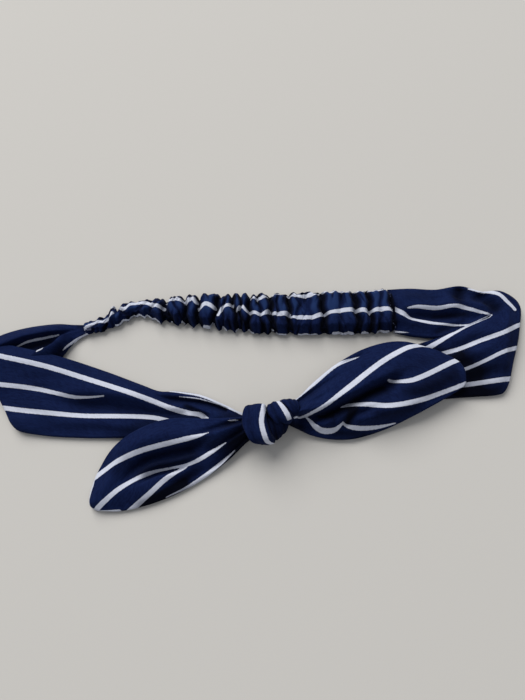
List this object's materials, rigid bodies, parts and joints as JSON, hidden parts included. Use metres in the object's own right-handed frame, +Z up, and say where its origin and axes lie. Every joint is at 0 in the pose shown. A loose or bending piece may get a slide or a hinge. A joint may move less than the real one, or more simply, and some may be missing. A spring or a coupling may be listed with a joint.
{
  "type": "knotted headband",
  "caption": "Striped cloth headband with a knotted bow tie in front and a gathered elastic back, lying flat as a folded loop.",
  "frame": {"origin": "middle of the lying headband's outline, at the height of the table it lies on", "axes": "+X along the flattened loop, from its left end to its right end; +Y from the knot to the elastic back; +Z up from the table"},
  "size_m": [0.251, 0.0943, 0.018],
  "materials": {
    "striped_cloth": "matt woven cloth, navy with off-white pinstripes",
    "elastic": "ribbed white elastic webbing",
    "thread": "matt spun sewing thread"
  },
  "bodies": {
    "knot": {"band_throat": "striped_cloth", "tie_turn_left": "striped_cloth", "tie_turn_middle": "striped_cloth", "tie_turn_right": "striped_cloth", "tie_core": "striped_cloth", "elastic_sleeve": "striped_cloth", "elastic_strip": "elastic", "sleeve_seam": "thread"},
    "side_left": {"front_band_left": "striped_cloth", "band_seam_left": "thread", "left_joint_stitching": "thread", "left_elastic_tack": "thread"},
    "side_right": {"front_band_right": "striped_cloth", "band_seam_right": "thread", "right_joint_stitching": "thread", "right_elastic_tack": "thread"},
    "tail_left": {"tie_tail_left": "striped_cloth", "tail_seam_left": "thread"},
    "tail_right": {"tie_tail_right": "striped_cloth", "tail_seam_right": "thread"}
  },
  "joints": [
    {"name": "stretch_left", "type": "slide", "parent": "knot", "child": "side_left", "axis": [-1, 0, 0], "range_m": [0, 0.025], "stiffness_N_per_m": 100, "deforming": ["elastic_sleeve", "elastic_strip"]},
    {"name": "stretch_right", "type": "slide", "parent": "knot", "child": "side_right", "axis": [1, 0, 0], "range_m": [0, 0.025], "stiffness_N_per_m": 100, "deforming": ["elastic_sleeve", "elastic_strip"]},
    {"name": "tail_left_lift", "type": "hinge", "parent": "knot", "child": "tail_left", "pos_m": [-0.0076, -0.0155, 0.0142], "axis": [-0.3714, 0.9285, 0], "range_deg": [0, 90]},
    {"name": "tail_right_lift", "type": "hinge", "parent": "knot", "child": "tail_right", "pos_m": [0.0203, -0.0115, 0.0116], "axis": [0.1508, -0.9886, 0], "range_deg": [0, 90]}
  ],
  "couplings": [
    {"joint": "stretch_right", "follows": "stretch_left", "ratio": 1}
  ]
}
